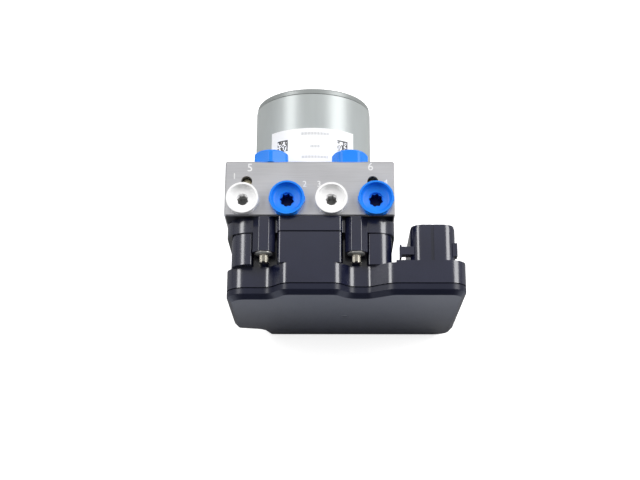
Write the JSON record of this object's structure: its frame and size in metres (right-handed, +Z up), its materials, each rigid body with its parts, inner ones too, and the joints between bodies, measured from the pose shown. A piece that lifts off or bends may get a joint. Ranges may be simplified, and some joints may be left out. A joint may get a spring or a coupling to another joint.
{
  "type": "abs brake module",
  "caption": "Hydraulic block with a round pump motor on one side, a flat control unit on the other, and plugged brake line ports.",
  "frame": {"origin": "centre of the hydraulic block's bottom face, at the mouth of the middle bracket hole", "axes": "+X along the row of wheel ports, towards the electrical connector; +Y along the motor axis, out of the motor side; +Z up to the port face"},
  "size_m": [0.1412, 0.1399, 0.113],
  "materials": {
    "block_aluminium": "milled",
    "can_steel": "satin plated",
    "steel": "ground",
    "screw_steel": "zinc plated",
    "copper": "drawn",
    "bronze": "sintered or plated",
    "ferrite": "dull",
    "carbon": "dull",
    "housing_plastic": "moulded, semi-gloss",
    "cover_plastic": "moulded, satin",
    "black_plastic": "moulded",
    "blue_plastic": "moulded",
    "white_plastic": "moulded",
    "label": "printed film",
    "rubber": "moulded",
    "board": "solder mask"
  },
  "bodies": {
    "module": {"hydraulic_block": "block_aluminium", "channel_balls": "steel", "motor_can": "can_steel", "motor_end_shield": "steel", "motor_screws": "screw_steel", "motor_label": "label", "motor_magnets": "ferrite", "brush_holder": "black_plastic", "motor_brushes": "carbon", "motor_terminals": "copper", "front_bearing_outer": "steel", "rear_bush": "bronze", "pump_sleeves": "steel", "pump_caps": "block_aluminium", "pump_springs": "steel", "accumulator_spring_left": "steel", "accumulator_spring_right": "steel", "accumulator_caps": "steel", "wheel_valve_bodies": "steel", "circuit_valve_bodies": "steel", "solenoid_coils": "steel", "pressure_sensor": "steel", "ecu_housing": "housing_plastic", "housing_gasket": "rubber", "ecu_cover": "cover_plastic", "connector_pins": "bronze", "circuit_board": "board", "board_components": "black_plastic", "ecu_screws": "screw_steel", "screw_washers": "screw_steel"},
    "rotor": {"rotor_shaft": "steel", "rotor_core": "steel", "rotor_windings": "copper", "commutator": "copper", "front_bearing_inner": "steel"},
    "eccentric_ring": {"eccentric_ring": "steel"},
    "pump_piston_left": {"pump_piston_left": "steel"},
    "pump_piston_right": {"pump_piston_right": "steel"},
    "accumulator_piston_left": {"accumulator_piston_left": "block_aluminium"},
    "accumulator_piston_right": {"accumulator_piston_right": "block_aluminium"},
    "inlet_armature_1": {"inlet_armature_1": "steel"},
    "inlet_armature_2": {"inlet_armature_2": "steel"},
    "inlet_armature_3": {"inlet_armature_3": "steel"},
    "inlet_armature_4": {"inlet_armature_4": "steel"},
    "outlet_armature_1": {"outlet_armature_1": "steel"},
    "outlet_armature_2": {"outlet_armature_2": "steel"},
    "outlet_armature_3": {"outlet_armature_3": "steel"},
    "outlet_armature_4": {"outlet_armature_4": "steel"},
    "circuit_armature_1": {"circuit_armature_1": "steel"},
    "circuit_armature_2": {"circuit_armature_2": "steel"},
    "circuit_armature_3": {"circuit_armature_3": "steel"},
    "circuit_armature_4": {"circuit_armature_4": "steel"},
    "wheel_plug_1": {"wheel_plug_1": "white_plastic"},
    "wheel_plug_2": {"wheel_plug_2": "blue_plastic"},
    "wheel_plug_3": {"wheel_plug_3": "white_plastic"},
    "wheel_plug_4": {"wheel_plug_4": "blue_plastic"},
    "master_plug_left": {"master_plug_left": "blue_plastic"},
    "master_plug_right": {"master_plug_right": "blue_plastic"}
  },
  "joints": [
    {"name": "rotor_spin", "type": "hinge", "parent": "module", "child": "rotor", "pos_m": [0.001, 0.017, 0.0545], "axis": [0, 1, 0], "continuous": true},
    {"name": "eccentric_ring_spin", "type": "hinge", "parent": "rotor", "child": "eccentric_ring", "pos_m": [0.001, 0.002, 0.0557], "axis": [0, 1, 0], "continuous": true},
    {"name": "pump_piston_left_slide", "type": "slide", "parent": "module", "child": "pump_piston_left", "axis": [-1, 0, 0], "range_m": [0, 0.0024], "stiffness_N_per_m": 1500, "springref_m": -0.002},
    {"name": "pump_piston_right_slide", "type": "slide", "parent": "module", "child": "pump_piston_right", "axis": [1, 0, 0], "range_m": [0, 0.0024], "stiffness_N_per_m": 1500, "springref_m": -0.002},
    {"name": "accumulator_piston_left_slide", "type": "slide", "parent": "module", "child": "accumulator_piston_left", "axis": [0, 0, -1], "range_m": [0, 0.008], "stiffness_N_per_m": 3000, "springref_m": -0.004, "deforming": ["accumulator_spring_left"]},
    {"name": "accumulator_piston_right_slide", "type": "slide", "parent": "module", "child": "accumulator_piston_right", "axis": [0, 0, -1], "range_m": [0, 0.008], "stiffness_N_per_m": 3000, "springref_m": -0.004, "deforming": ["accumulator_spring_right"]},
    {"name": "inlet_armature_1_slide", "type": "slide", "parent": "module", "child": "inlet_armature_1", "axis": [0, 1, 0], "range_m": [0, 0.00035], "stiffness_N_per_m": 2000, "springref_m": -0.001},
    {"name": "inlet_armature_2_slide", "type": "slide", "parent": "module", "child": "inlet_armature_2", "axis": [0, 1, 0], "range_m": [0, 0.00035], "stiffness_N_per_m": 2000, "springref_m": -0.001},
    {"name": "inlet_armature_3_slide", "type": "slide", "parent": "module", "child": "inlet_armature_3", "axis": [0, 1, 0], "range_m": [0, 0.00035], "stiffness_N_per_m": 2000, "springref_m": -0.001},
    {"name": "inlet_armature_4_slide", "type": "slide", "parent": "module", "child": "inlet_armature_4", "axis": [0, 1, 0], "range_m": [0, 0.00035], "stiffness_N_per_m": 2000, "springref_m": -0.001},
    {"name": "outlet_armature_1_slide", "type": "slide", "parent": "module", "child": "outlet_armature_1", "axis": [0, -1, 0], "range_m": [0, 0.00035], "stiffness_N_per_m": 2000, "springref_m": -0.001},
    {"name": "outlet_armature_2_slide", "type": "slide", "parent": "module", "child": "outlet_armature_2", "axis": [0, -1, 0], "range_m": [0, 0.00035], "stiffness_N_per_m": 2000, "springref_m": -0.001},
    {"name": "outlet_armature_3_slide", "type": "slide", "parent": "module", "child": "outlet_armature_3", "axis": [0, -1, 0], "range_m": [0, 0.00035], "stiffness_N_per_m": 2000, "springref_m": -0.001},
    {"name": "outlet_armature_4_slide", "type": "slide", "parent": "module", "child": "outlet_armature_4", "axis": [0, -1, 0], "range_m": [0, 0.00035], "stiffness_N_per_m": 2000, "springref_m": -0.001},
    {"name": "circuit_armature_1_slide", "type": "slide", "parent": "module", "child": "circuit_armature_1", "axis": [0, 1, 0], "range_m": [0, 0.00035], "stiffness_N_per_m": 2000, "springref_m": -0.001},
    {"name": "circuit_armature_2_slide", "type": "slide", "parent": "module", "child": "circuit_armature_2", "axis": [0, -1, 0], "range_m": [0, 0.00035], "stiffness_N_per_m": 2000, "springref_m": -0.001},
    {"name": "circuit_armature_3_slide", "type": "slide", "parent": "module", "child": "circuit_armature_3", "axis": [0, -1, 0], "range_m": [0, 0.00035], "stiffness_N_per_m": 2000, "springref_m": -0.001},
    {"name": "circuit_armature_4_slide", "type": "slide", "parent": "module", "child": "circuit_armature_4", "axis": [0, 1, 0], "range_m": [0, 0.00035], "stiffness_N_per_m": 2000, "springref_m": -0.001},
    {"name": "wheel_plug_1_lift", "type": "slide", "parent": "module", "child": "wheel_plug_1", "axis": [0, 0, 1], "range_m": [0, 0.012]},
    {"name": "wheel_plug_2_lift", "type": "slide", "parent": "module", "child": "wheel_plug_2", "axis": [0, 0, 1], "range_m": [0, 0.013]},
    {"name": "wheel_plug_3_lift", "type": "slide", "parent": "module", "child": "wheel_plug_3", "axis": [0, 0, 1], "range_m": [0, 0.012]},
    {"name": "wheel_plug_4_lift", "type": "slide", "parent": "module", "child": "wheel_plug_4", "axis": [0, 0, 1], "range_m": [0, 0.013]},
    {"name": "master_plug_left_pull", "type": "slide", "parent": "module", "child": "master_plug_left", "axis": [0, 1, 0], "range_m": [0, 0.013]},
    {"name": "master_plug_right_pull", "type": "slide", "parent": "module", "child": "master_plug_right", "axis": [0, 1, 0], "range_m": [0, 0.013]}
  ],
  "couplings": [
    {"joint": "eccentric_ring_spin", "follows": "rotor_spin", "ratio": -1}
  ]
}
